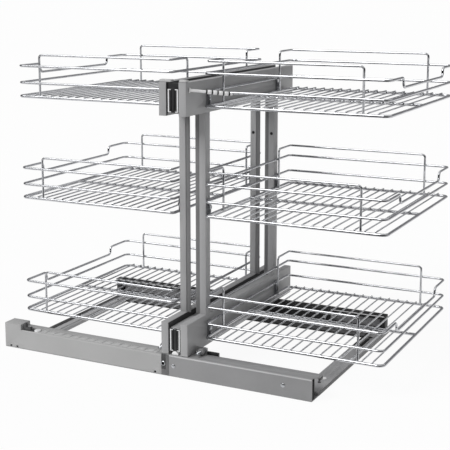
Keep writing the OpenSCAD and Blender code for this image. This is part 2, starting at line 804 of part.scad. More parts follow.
placed() slide_fixed(left, bracket_z);  // left_low_slide_fixed
placed() slide_middle(left, bracket_z);  // left_low_slide_middle
placed() slide_balls(left, bracket_z);  // left_low_slide_balls
placed() slide_moving(left, bracket_z);  // left_low_slide_moving
placed() slide_fixed(left, top_bracket_z);  // left_top_slide_fixed
placed() slide_middle(left, top_bracket_z);  // left_top_slide_middle
placed() slide_balls(left, top_bracket_z);  // left_top_slide_balls
placed() slide_moving(left, top_bracket_z);  // left_top_slide_moving
placed() slide_fixed(right, bracket_z);  // right_low_slide_fixed
placed() slide_middle(right, bracket_z);  // right_low_slide_middle
placed() slide_balls(right, bracket_z);  // right_low_slide_balls
placed() slide_moving(right, bracket_z);  // right_low_slide_moving
placed() slide_fixed(right, top_bracket_z);  // right_top_slide_fixed
placed() slide_middle(right, top_bracket_z);  // right_top_slide_middle
placed() slide_balls(right, top_bracket_z);  // right_top_slide_balls
placed() slide_moving(right, top_bracket_z);  // right_top_slide_moving

placed() bracket(left, bracket_z, low_tier_z);  // left_low_bracket
placed() bracket(left, top_bracket_z, top_tier_z);  // left_top_bracket
placed() post(left, front_post_y, false);  // left_front_post
placed() post(left, rear_post_y, true);  // left_rear_post
placed() basket(left, low_tier_z);  // left_low_basket
placed() basket(left, middle_tier_z);  // left_middle_basket
placed() basket(left, top_tier_z);  // left_top_basket
placed() basket_screws(left);  // left_basket_screws
placed() slide_buffers(left);  // left_slide_buffers
placed() slide_trims(left);  // left_slide_trims

placed() bracket(right, bracket_z, low_tier_z);  // right_low_bracket
placed() bracket(right, top_bracket_z, top_tier_z);  // right_top_bracket
placed() post(right, front_post_y, false);  // right_front_post
placed() post(right, rear_post_y, true);  // right_rear_post
placed() basket(right, low_tier_z);  // right_low_basket
placed() basket(right, middle_tier_z);  // right_middle_basket
placed() basket(right, top_tier_z);  // right_top_basket
placed() basket_screws(right);  // right_basket_screws
placed() slide_buffers(right);  // right_slide_buffers
placed() slide_trims(right);  // right_slide_trims
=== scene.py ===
"""Looks of the blind corner pull out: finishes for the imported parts, small fittings, light and camera.

X runs along the base, Y to the back and Z up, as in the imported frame. Sizes on the object are in
millimetres, and turn to metres where a mesh is made. A pair of sizes is a range that counts from an edge
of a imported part, or the gaps that a piece leaves at the two ends of one. The set round the object is
measured in metres.
"""

from __future__ import annotations

import json
import logging
import math
from dataclasses import dataclass, replace
from enum import Enum
from typing import Sequence

import bmesh
import bpy
from bmesh.types import BMEdge, BMesh, BMVert
from bpy.types import Material, Node, NodeSocket, Object, World
from mathutils import Matrix, Vector

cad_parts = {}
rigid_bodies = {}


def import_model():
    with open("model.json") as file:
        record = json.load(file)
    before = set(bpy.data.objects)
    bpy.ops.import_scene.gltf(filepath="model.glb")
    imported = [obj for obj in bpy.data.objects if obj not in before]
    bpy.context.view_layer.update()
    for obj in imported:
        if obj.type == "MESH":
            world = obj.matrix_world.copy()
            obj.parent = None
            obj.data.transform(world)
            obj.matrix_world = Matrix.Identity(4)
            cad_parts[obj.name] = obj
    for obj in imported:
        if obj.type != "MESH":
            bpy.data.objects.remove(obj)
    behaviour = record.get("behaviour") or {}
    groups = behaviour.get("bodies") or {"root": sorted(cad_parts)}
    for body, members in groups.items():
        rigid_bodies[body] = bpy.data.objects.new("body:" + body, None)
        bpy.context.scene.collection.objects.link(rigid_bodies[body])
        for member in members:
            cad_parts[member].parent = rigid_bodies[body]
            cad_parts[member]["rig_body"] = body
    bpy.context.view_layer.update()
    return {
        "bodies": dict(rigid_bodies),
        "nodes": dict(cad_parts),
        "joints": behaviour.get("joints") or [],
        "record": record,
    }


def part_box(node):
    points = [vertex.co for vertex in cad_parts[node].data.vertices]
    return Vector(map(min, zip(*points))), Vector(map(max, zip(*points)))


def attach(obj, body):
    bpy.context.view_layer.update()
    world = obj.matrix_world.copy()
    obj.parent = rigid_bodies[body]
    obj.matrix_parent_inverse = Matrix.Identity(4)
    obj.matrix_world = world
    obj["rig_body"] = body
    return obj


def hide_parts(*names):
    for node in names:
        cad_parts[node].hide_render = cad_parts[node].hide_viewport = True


LOG = logging.getLogger("pull_out")
MM = 0.001
BASE = "base"

# Faces that meet at less than this angle are shaded as one round face
SMOOTH_ANGLE = math.radians(32)
# Triangles whose corners are this close are joined, and those that meet this flatly become one face
JOIN_DISTANCE = 0.002
FLAT_ANGLE = math.radians(0.5)
EDGE_SEGMENTS = 2
ROUND_SIDES = 24

# The span in which most values of a noise texture lie
NOISE_LOW = 0.3
NOISE_HIGH = 0.7
PATCH_DETAIL = 4.0
GRAIN_DETAIL = 2.0
GRAIN_STRENGTH = 0.35

WHITE = (1, 1, 1, 1)
UP = Vector((0, 0, 1))
TO_FRONT = Vector((0, -1, 0))

Range = tuple[float, float]
Span = tuple[Vector, Vector]


class Side(Enum):
    """The unit's two sides, with the direction along X in which each one lies."""

    LEFT = -1
    RIGHT = 1

    @property
    def label(self) -> str:
        """The side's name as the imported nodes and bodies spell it."""
        return self.name.lower()


class Level(Enum):
    """The low and the top pair of ball slides and brackets."""

    LOW = "low"
    TOP = "top"


class Tier(Enum):
    """The three baskets of a frame."""

    LOW = "low"
    MIDDLE = "middle"
    TOP = "top"


class Slot(Enum):
    """The record's material slots."""

    STEEL = "steel"
    GREY_PLASTIC = "grey_plastic"
    BLACK_STEEL = "black_steel"
    BLACK_PLASTIC = "black_plastic"
    ZINC = "zinc"
    NYLON = "nylon"
    CHROME = "chrome"
    SLIDE_STEEL = "slide_steel"


def linear(colour: str) -> tuple[float, float, float, float]:
    """Turns an sRGB hex colour into the linear values that shaders take.

    Args:
        colour: Six hex digits after a hash sign.

    Returns:
        Red, green, blue and an alpha of 1.
    """
    channels = [int(colour[i : i + 2], 16) / 255 for i in (1, 3, 5)]
    red, green, blue = [c / 12.92 if c <= 0.04045 else ((c + 0.055) / 1.055) ** 2.4 for c in channels]
    return red, green, blue, 1.0


def corners(node: str) -> Span:
    """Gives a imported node's lowest and highest corners at rest, in millimetres."""
    low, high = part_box(node)
    return low / MM, high / MM


def past(edge: float, offsets: Range) -> Range:
    """Gives the range whose two ends lie at these offsets from an edge."""
    return edge + offsets[0], edge + offsets[1]


def within(low: float, high: float, gaps: Range) -> Range:
    """Gives the range that leaves these gaps at the two ends of another."""
    return low + gaps[0], high - gaps[1]


def span(across: Range, deep: Range, tall: Range) -> Span:
    """Gives the lowest and highest corners of a block from its ranges along X, Y and Z."""
    low, high = zip(across, deep, tall)
    return Vector(low), Vector(high)


def new_object(name: str, mesh: BMesh, material: Material) -> Object:
    """Turns a bmesh into an object of the scene.

    Args:
        name: The object's name.
        mesh: Its shape, in metres and in place; it is used up.
        material: What it is made of.

    Returns:
        The new object.
    """
    data = bpy.data.meshes.new(name)
    mesh.to_mesh(data)
    mesh.free()
    data.materials.append(material)
    thing = bpy.data.objects.new(name, data)
    bpy.context.scene.collection.objects.link(thing)
    return thing


class Graph:
    """A node tree under construction, of a material or of the world."""

    def __init__(self, owner: Material | World) -> None:
        """Empties the owner's node tree.

        Args:
            owner: The material or world that gets the nodes.
        """
        owner.use_nodes = True
        self.tree = owner.node_tree
        self.tree.nodes.clear()

    def add(self, kind: str, inputs: dict | None = None, **settings: object) -> Node:
        """Adds a node, sets its properties and fills or links its inputs.

        Args:
            kind: The node's type name without its ShaderNode prefix.
            inputs: Input names or numbers, each with a plain value or an output socket to link.
            settings: Properties of the node itself.

        Returns:
            The new node.
        """
        node = self.tree.nodes.new("ShaderNode" + kind)
        for key, value in settings.items():
            setattr(node, key, value)
        for key, value in (inputs or {}).items():
            if isinstance(value, NodeSocket):
                self.tree.links.new(value, node.inputs[key])
            else:
                node.inputs[key].default_value = value
        return node

    def noise(self, where: NodeSocket, size: float, detail: float) -> NodeSocket:
        """Adds a noise texture whose features are about a size wide, and gives its factor."""
        inputs = {"Vector": where, "Scale": 1.0 / (size * MM), "Detail": detail}
        return self.add("TexNoise", inputs).outputs["Fac"]

    def ramp(self, factor: NodeSocket, stops: Sequence[tuple[float, str]]) -> NodeSocket:
        """Adds a colour ramp between two stops.

        Args:
            factor: The socket that drives the ramp.
            stops: Positions from 0 to 1, each with an sRGB hex colour.

        Returns:
            The ramp's colour output.
        """
        node = self.add("ValToRGB", {"Fac": factor})
        for element, (place, colour) in zip(node.color_ramp.elements, stops):
            element.position = place
            element.color = linear(colour)
        return node.outputs["Color"]


@dataclass(frozen=True)
class Finish:
    """A finish in general: one colour with tone, roughness and relief that vary over the surface."""

    name: str
    slot: Slot
    dark: str
    light: str
    roughness: float
    roughness_spread: float
    patch: float
    grain: float
    grain_depth: float
    metallic: float = 0.0
    stretch: tuple[float, float, float] = (1.0, 1.0, 1.0)

    def material(self) -> Material:
        """Gives the one material of the finish's name, which is made on first use."""
        return bpy.data.materials.get(self.name) or self.build()

    def build(self) -> Material:
        """Makes the material.

        Returns:
            A material on Object coordinates, ready for any piece.
        """
        material = bpy.data.materials.new(self.name)
        graph = Graph(material)
        where = graph.add("TexCoord").outputs["Object"]
        placed = graph.add("Mapping", {"Vector": where, "Scale": self.stretch}).outputs["Vector"]
        patches = graph.noise(placed, self.patch, PATCH_DETAIL)
        grain = graph.noise(placed, self.grain, GRAIN_DETAIL)
        tone = graph.ramp(patches, [(NOISE_LOW, self.dark), (NOISE_HIGH, self.light)])
        rough = graph.add(
            "MapRange",
            {
                "Value": grain,
                "From Min": NOISE_LOW,
                "From Max": NOISE_HIGH,
                "To Min": self.roughness - self.roughness_spread,
                "To Max": self.roughness + self.roughness_spread,
            },
        )
        depth = self.grain_depth * MM
        relief = graph.add("Bump", {"Height": grain, "Strength": GRAIN_STRENGTH, "Distance": depth})
        shader = graph.add(
            "BsdfPrincipled",
            {
                "Base Color": tone,
                "Metallic": self.metallic,
                "Roughness": rough.outputs["Result"],
                "Normal": relief.outputs["Normal"],
            },
        )
        graph.add("OutputMaterial", {"Surface": shader.outputs["BSDF"]})
        return material


# The numbers of a finish are its roughness, the roughness's spread, and its patch, grain and grain depth

# Grey powder coat on folded steel: an even tone with a soft sheen and a faint orange peel
POWDER_COAT = Finish("powder_coated_steel", Slot.STEEL, "#9b9b9c", "#a5a5a6", 0.42, 0.05, 90, 1.6, 0.05)
# The same coat painted paler, as painted light: the left side rail's top against the low basket's shadow,
# and painted highlights on its bead and on the front rail's edge
PALE_COAT = Finish(
    "polished_coat", Slot.STEEL, "#b4b4b5", "#c0c0c1", 0.36, 0.06, 60, 1.6, 0.04, stretch=(1, 0.2, 1)
)
# The same coat on the front rail, its end tab and the side rails' plugs, a shade darker
BASE_COAT = Finish("powder_coated_base_steel", Slot.STEEL, "#868687", "#909091", 0.4, 0.05, 120, 1.6, 0.05)
# Roller path on the rail: the top is painted a little lighter than the rail, against the shade it falls in,
# in streaks along the travel
ROLLER_PATH = Finish(
    "polished_roller_path", Slot.STEEL, "#8a8a8b", "#9e9e9f", 0.4, 0.08, 30, 2.5, 0.03,
    stretch=(0.08, 1, 1),
)
# Moulded ABS: matt, with the fine spark grain of its mould, drawn coarser so that it shows
MOULDED_PLASTIC = Finish("moulded_abs", Slot.GREY_PLASTIC, "#a9a9a9", "#b1b1b1", 0.55, 0.06, 140, 1.4, 0.08)
# Pale ABS of the bracket end caps and the rib pads, paler than the cover; on the rib pads and their fills
# the paleness is painted light on the cover's top, over the shade between its ribs
PALE_PLASTIC = Finish("pale_abs", Slot.GREY_PLASTIC, "#b6b6b6", "#c2c2c2", 0.5, 0.06, 60, 1.4, 0.06)
# Bright chrome plate on drawn wire: a near mirror, with faint waviness along the wire
CHROME = Finish(
    "chrome_plated_wire", Slot.CHROME, "#b4b5b8", "#c8c9cc", 0.1, 0.04, 25, 3.0, 0.01, metallic=1.0
)
# Zinc plate on pins and screws, and on rolled slide members: bright and fine-lined from front to back
ZINC = Finish(
    "zinc_plated_steel", Slot.ZINC, "#a9abae", "#c3c5c8", 0.3, 0.08, 12, 1.2, 0.02,
    metallic=1.0, stretch=(1, 0.05, 1),
)
SLIDE_ZINC = replace(ZINC, slot=Slot.SLIDE_STEEL)
# Black coat on the cross track and the rear foot: deep, matt and a little dusty; on the floor bar's front
# edge it is painted shade
BLACK_COAT_AND_SHADE = Finish("black_coated_steel", Slot.BLACK_STEEL, "#0b0b0c", "#151516", 0.78, 0.08, 60, 1.8, 0.05)
FOOT_COAT = replace(BLACK_COAT_AND_SHADE, slot=Slot.STEEL)
# Pale web of the cross track, painted paler still to lift it out of the shade under the track's top lip, in
# streaks along the track
TRACK_WEB = Finish(
    "rubbed_track_web", Slot.BLACK_STEEL, "#a6a6a8", "#bebec0", 0.45, 0.08, 40, 1.6, 0.03,
    stretch=(0.05, 1, 1),
)
# Black acetal: moulded, satin; on the rear posts' hole plugs, the front screw's socket and the stay's
# grooves it is painted shade
BLACK_PLASTIC = Finish("black_acetal", Slot.BLACK_PLASTIC, "#161617", "#222223", 0.5, 0.06, 20, 1.2, 0.05)
# Dark grey acetal of the catch, paler than the buffers
GREY_ACETAL = Finish("dark_grey_acetal", Slot.BLACK_PLASTIC, "#454546", "#535354", 0.5, 0.06, 20, 1.2, 0.05)
# Glass-filled nylon of the front rollers: mid grey and satin
FILLED_NYLON = Finish("glass_filled_nylon", Slot.NYLON, "#747475", "#828283", 0.46, 0.06, 15, 1.0, 0.04)
# Near black, taking nearly all light: painted shade in the front rail's open end, and black strips on the
# right side rail
BLACK_STRIP_AND_SHADE = Finish("black_foam", Slot.BLACK_PLASTIC, "#060606", "#0c0c0d", 0.95, 0.04, 15, 1.4, 0.1)
# Dark coat on the floor bar; on the sheet over the front rail's joint and on the right side rail's outer
# wall it is painted shade
DARK_COAT_AND_SHADE = Finish("dark_coated_plate", Slot.STEEL, "#606061", "#6e6e6f", 0.45, 0.06, 40, 1.6, 0.04)
# Painted shade on the posts' inner flanges, behind their front faces
FLANGE_SHADE = Finish("rolled_flange_coat", Slot.STEEL, "#6c6c6d", "#787879", 0.45, 0.05, 60, 1.6, 0.04)
# Natural nylon of the wheels, the glide, the front washers and the stay: off-white and waxy
NYLON = Finish("natural_nylon", Slot.NYLON, "#e6e6e6", "#f2f2f2", 0.42, 0.05, 15, 1.0, 0.03)
# Pale lacquer on the knob: bright, with a soft gloss; on the slides' edge strips and along the track's lips
# it is a painted highlight
PALE_LACQUER_AND_HIGHLIGHT = Finish("pale_lacquered_strip", Slot.NYLON, "#dededf", "#ececed", 0.35, 0.05, 30, 1.2, 0.02)
TRIM_HIGHLIGHT = replace(PALE_LACQUER_AND_HIGHLIGHT, slot=Slot.SLIDE_STEEL)
BEAD_HIGHLIGHT = replace(PALE_LACQUER_AND_HIGHLIGHT, slot=Slot.BLACK_STEEL)
# Painted shade in thin strips, on the brackets' inner faces, the left side rail and the front rail's joint:
# dark and dull, with tone varying along their length
SHADE_STRIP = Finish(
    "dark_rubber_strip", Slot.BLACK_PLASTIC, "#373738", "#4c4c4d", 0.72, 0.08, 25, 1.5, 0.06,
    stretch=(1, 0.1, 1),
)


@dataclass(frozen=True)
class Ring:
    """One station of a turned shape: a ring of a radius at a height, with a number of sides."""

    radius: float
    height: float
    sides: int


Profile = tuple[Ring, ...]


def profile(*stations: tuple[float, float], sides: int = ROUND_SIDES) -> Profile:
    """Lists the rings of a turned shape from each one's radius and height, from the seat outwards."""
    return tuple(Ring(radius, height, sides) for radius, height in stations)


class Workshop:
    """Makes meshes with bmesh operators, and turns them into pieces that ride on the frame's bodies."""

    def __init__(self, frame: dict) -> None:
        self.frame = frame

    def round_edges(self, mesh: BMesh, edges: Sequence[BMEdge], radius: float) -> None:
        """Rounds some edges of a mesh.

        Args:
            mesh: The bmesh.
            edges: The edges to round.
            radius: How far the rounding reaches from each edge.
        """
        bmesh.ops.bevel(
            mesh,
            geom=edges,
            offset=radius * MM,
            segments=EDGE_SEGMENTS,
            profile=0.5,
            affect="EDGES",
            material=-1,
            clamp_overlap=True,
        )

    def block(self, mesh: BMesh, ends: Span, edge: float) -> None:
        """Adds a block with rounded edges.

        Args:
            mesh: The bmesh that takes the block.
            ends: Its lowest and highest corners.
            edge: The radius of its edges.
        """
        low, high = ends
        size = Matrix.Diagonal((*((high - low) * MM), 1.0))
        place = Matrix.Translation((low + high) / 2 * MM)
        made = bmesh.ops.create_cube(mesh, size=1.0, matrix=place @ size)
        self.round_edges(mesh, list({e for v in made["verts"] for e in v.link_edges}), edge)

    def turn(self, mesh: BMesh, rings: Profile, at: Vector, along: Vector) -> None:
        """Adds a turned shape: rings bridged one after the other, with both ends closed.

        Args:
            mesh: The bmesh that takes the shape.
            rings: The stations, from the seat outwards.
            at: The middle of the seat.
            along: The direction of the axis.
        """
        turned = along.normalized().to_track_quat("Z", "Y").to_matrix().to_4x4()
        place = Matrix.Translation(at * MM) @ turned
        loops = []
        for ring in rings:
            lift = Matrix.Translation((0, 0, ring.height * MM))
            made = bmesh.ops.create_circle(
                mesh, segments=ring.sides, radius=ring.radius * MM, cap_ends=False, matrix=place @ lift
            )
            loops.append(made["verts"])
        edges = [list({e for v in loop for e in v.link_edges}) for loop in loops]
        for lower, upper in zip(edges, edges[1:]):
            bmesh.ops.bridge_loops(mesh, edges=lower + upper)
        mesh.faces.new(list(reversed(loops[0])))
        mesh.faces.new(loops[-1])

    def piece(self, name: str, mesh: BMesh, finish: Finish, body: str) -> Object:
        """Turns a bmesh into a piece of the object.

        Args:
            name: The piece's name.
            mesh: Its shape, in metres and in place; it is used up.
            finish: What it is made of.
            body: The body that it rides on.

        Returns:
            The piece's object.
        """
        bmesh.ops.recalc_face_normals(mesh, faces=mesh.faces)
        thing = new_object(name, mesh, finish.material())
        thing.data.shade_smooth()
        thing.data.set_sharp_from_angle(angle=SMOOTH_ANGLE)
        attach(thing, body)
        LOG.info("%s: %d faces on %s", name, len(thing.data.polygons), body)
        return thing

    def strips(self, name: str, edge: float, finish: Finish, *spans: Span, body: str = BASE) -> None:
        """Makes one piece of one or more blocks.

        Args:
            name: The piece's name.
            edge: The radius of the blocks' edges.
            finish: What the piece is made of.
            spans: Each block's lowest and highest corners.
            body: The body that it rides on.
        """
        mesh = bmesh.new()
        for ends in spans:
            self.block(mesh, ends, edge)
        self.piece(name, mesh, finish, body)

    def turnings(
        self, name: str, rings: Profile, along: Vector, finish: Finish, *seats: Vector, body: str = BASE
    ) -> None:
        """Makes one piece of one or more equal turned shapes.

        Args:
            name: The piece's name.
            rings: The stations of the shape.
            along: The direction of the axes.
            finish: What the piece is made of.
            seats: The middle of each shape's seat.
            body: The body that it rides on.
        """
        mesh = bmesh.new()
        for seat in seats:
            self.turn(mesh, rings, seat, along)
        self.piece(name, mesh, finish, body)

    def joined(self, node: str) -> BMesh:
        """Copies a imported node's mesh and joins its loose triangles.

        Args:
            node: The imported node.

        Returns:
            The joined copy.
        """
        mesh = bmesh.new()
        mesh.from_mesh(self.frame["nodes"][node].data)
        bmesh.ops.remove_doubles(mesh, verts=mesh.verts, dist=JOIN_DISTANCE * MM)
        return mesh

    def stand_in(self, node: str, ending: str, mesh: BMesh, finish: Finish) -> None:
        """Puts a reworked copy of a node in the node's place, on the same body.

        Args:
            node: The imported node.
            ending: What the copy's name adds to the node's.
            mesh: The copy's shape; it is used up.
            finish: What it is made of.
        """
        body = self.frame["nodes"][node]["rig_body"]
        copy = self.piece(node + ending, mesh, finish, body)
        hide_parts(node)

    def soften(self, node: str, finish: Finish, edge: float) -> None:
        """Replaces a node by a copy whose sharp edges are rounded, as folds and mouldings are.

        Args:
            node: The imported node.
            finish: What it is made of.
            edge: The radius of its edges.
        """
        mesh = self.joined(node)
        bmesh.ops.dissolve_limit(mesh, angle_limit=FLAT_ANGLE, verts=mesh.verts, edges=mesh.edges)
        sharp = [e for e in mesh.edges if e.is_manifold and e.calc_face_angle() > SMOOTH_ANGLE]
        self.round_edges(mesh, sharp, edge)
        self.stand_in(node, "_softened", mesh, finish)

    def smooth(self, node: str, finish: Finish) -> None:
        """Replaces a node by a joined copy whose round faces are shaded smooth."""
        self.stand_in(node, "_smooth", self.joined(node), finish)


@dataclass
class FrontRail:
    """The folded front rail, with its roller path, painted edge highlight, painted shade over its joint and
    in its open end, fasteners and end tab.
    """

    shop: Workshop
    fold_edge: float = 0.7
    sheet: float = 2.0
    path_ends: Range = (0.5, 0.8)
    path_depths: Range = (5.0, 31.5)
    path_thickness: float = 0.2
    path_edge: float = 0.0667
    rubbed_ends: Range = (18.0, 8.0)
    rubbed_depths: Range = (-0.2, 0.0)
    rubbed_heights: Range = (-4.2, -1.4)
    rubbed_round: float = 0.06
    foam_ends: Range = (-16.0, -7.4)
    foam_depths: Range = (2.0, 13.0)
    foam_edge: float = 0.6
    plate_ends: Range = (0.3, 17.0)
    plate_depths: Range = (-0.4, 0.0)
    plate_gaps: Range = (0.6, 0.6)
    pad_ends: Range = (0.6, 10.0)
    pad_depths: Range = (-0.8, -0.4)
    pad_gaps: Range = (13.0, 0.6)
    plate_edge: float = 0.2
    socket_screw: tuple[float, float] = (5.0, 25.0)
    screw_collar: Profile = profile((4.9, 0.5), (4.9, 2.0), (4.3, 2.5), (3.5, 2.5), (3.3, 1.6))
    screw_socket: Profile = profile((3.2, 1.5), (3.2, 1.9)) + profile((2.4, 1.9), (2.2, 1.7), sides=6)
    rivets: tuple[tuple[float, float], ...] = ((27.0, 22.0), (262.0, 23.0))
    rivet_dome: Profile = profile((4.4, 0.0), (4.3, 0.5), (3.4, 1.1), (1.9, 1.5), (0.6, 1.65))
    tab_reach: float = 1.6
    tab_gaps: Range = (14.0, 0.5)
    tab_lip: float = 6.0
    tab_edge: float = 0.4

    def build(self) -> None:
        """Makes and dresses the rail."""
        self.shop.soften("front_rail", BASE_COAT, self.fold_edge)
        self.rubbed_coat()
        self.end_foam()
        self.joint_plate()
        self.fasteners()
        self.flange_tab()

    def open_part(self) -> Span:
        """Gives the corners of the rail's part to the right of the cover."""
        low, high = corners("front_rail")
        return Vector((corners("front_cover")[1].x, low.y, low.z)), high

    def rubbed_coat(self) -> None:
        """Lays the path along the rail's top where the rollers run, painted a little lighter, and a painted
        highlight along its front edge.
        """
        low, high = self.open_part()
        ends = within(low.x, high.x, self.path_ends)
        heights = past(high.z, (0, self.path_thickness))
        path = span(ends, past(low.y, self.path_depths), heights)
        self.shop.strips("rail_roller_path", self.path_edge, ROLLER_PATH, path)
        ends = within(low.x, high.x, self.rubbed_ends)
        band = span(ends, past(low.y, self.rubbed_depths), past(high.z, self.rubbed_heights))
        self.shop.strips("rail_rubbed_edge", self.rubbed_round, PALE_COAT, band)

    def end_foam(self) -> None:
        """Paints shade into the rail's right end, with a near-black block behind its front wall."""
        low, high = self.open_part()
        heights = within(low.z, high.z, (self.sheet, self.sheet))
        filling = span(past(high.x, self.foam_ends), past(low.y, self.foam_depths), heights)
        self.shop.strips("front_rail_foam", self.foam_edge, BLACK_STRIP_AND_SHADE, filling)

    def joint_plate(self) -> None:
        """Paints shade over the joint between the cover and the rail: a dark sheet, with darker shade near
        the cover.
        """
        low, high = self.open_part()
        heights = within(low.z, high.z, self.plate_gaps)
        plate = span(past(low.x, self.plate_ends), past(low.y, self.plate_depths), heights)
        self.shop.strips("rail_joint_plate", self.plate_edge, DARK_COAT_AND_SHADE, plate)
        heights = within(low.z, high.z, self.pad_gaps)
        pad = span(past(low.x, self.pad_ends), past(low.y, self.pad_depths), heights)
        self.shop.strips("rail_joint_pad", self.plate_edge, SHADE_STRIP, pad)

    def fasteners(self) -> None:
        """Sets the socket screw and the rivets in the rail's front face."""
        low = self.open_part()[0]
        screw, *rivets = [low + Vector((x, 0, z)) for x, z in (self.socket_screw, *self.rivets)]
        self.shop.turnings("rail_socket_screw", self.screw_collar, TO_FRONT, ZINC, screw)
        # The screw's black socket is painted shade in its hex recess
        self.shop.turnings("rail_screw_socket", self.screw_socket, TO_FRONT, BLACK_PLASTIC, screw)
        self.shop.turnings("rail_rivets", self.rivet_dome, TO_FRONT, ZINC, *rivets)

    def flange_tab(self) -> None:
        """Lengthens the rail's top flange at its right end by a tab, which turns down in a dark lip."""
        low, high = self.open_part()
        depths = within(low.y, high.y, self.tab_gaps)
        right = high.x + self.tab_reach
        under = high.z - self.sheet
        tab = span((high.x, right), depths, (under, high.z))
        self.shop.strips("rail_flange_tab", self.tab_edge, BASE_COAT, tab)
        lip = span((right - self.sheet, right), depths, (under - self.tab_lip, under))
        self.shop.strips("rail_tab_lip", self.tab_edge, BLACK_PLASTIC, lip)


@dataclass
class FrontCover:
    """The moulded cover over the rail's left part, with its rib pads, the catch and the knob beside it."""

    shop: Workshop
    moulded_edge: float = 0.9
    catch_edge: float = 0.5
    knob_from_catch: float = 9.0
    knob_depth: float = 9.5
    knob_below_rail: float = 5.0
    knob_rings: Profile = profile((7.2, 0.0), (7.2, 3.9), (6.5, 4.7), (4.5, 5.2), (3.6, 5.0), (0.6, 4.9))
    ribs_from_pin: float = 27.0
    rib_width: float = 13.0
    rib_pitch: float = 20.0
    rib_depths: Range = (4.0, 17.5)
    pad_heights: Range = (-1.8, -1.3)
    pad_edge: float = 0.4
    fill_heights: Range = (-3.0, -2.1)
    fill_edge: float = 0.3

    def build(self) -> None:
        """Makes and dresses the cover."""
        self.shop.soften("front_cover", MOULDED_PLASTIC, self.moulded_edge)
        self.shop.soften("catch_cradle", GREY_ACETAL, self.catch_edge)
        self.shop.smooth("catch_pin", ZINC)
        self.knob()
        self.rib_pads()

    def knob(self) -> None:
        """Sets the round button beside the catch, in the cover's step."""
        across = corners("catch_cradle")[1].x + self.knob_from_catch
        back = corners("front_cover")[0].y + self.knob_depth
        seat = Vector((across, back, corners("front_rail")[1].z - self.knob_below_rail))
        self.shop.turnings("cover_knob", self.knob_rings, UP, PALE_LACQUER_AND_HIGHLIGHT, seat)

    def rib_pads(self) -> None:
        """Caps the cover's ribs with pads and fills between them, below the rollers' path, in a paler
        plastic that paints the cover's top lighter and covers the shade between the ribs.
        """
        low, high = corners("front_cover")
        pin_low, pin_high = corners("catch_pin")
        rail_top = corners("front_rail")[1].z
        first = (pin_low.x + pin_high.x) / 2 + self.ribs_from_pin
        depths = past(low.y, self.rib_depths)
        mesh = bmesh.new()
        for index in range(int((high.x - first) / self.rib_pitch)):
            left = first + index * self.rib_pitch
            right = left + self.rib_width
            pad = span((left, right), depths, past(rail_top, self.pad_heights))
            self.shop.block(mesh, pad, self.pad_edge)
            fill = span((right, left + self.rib_pitch), depths, past(rail_top, self.fill_heights))
            self.shop.block(mesh, fill, self.fill_edge)
        self.shop.piece("cover_rib_pads", mesh, PALE_PLASTIC, BASE)


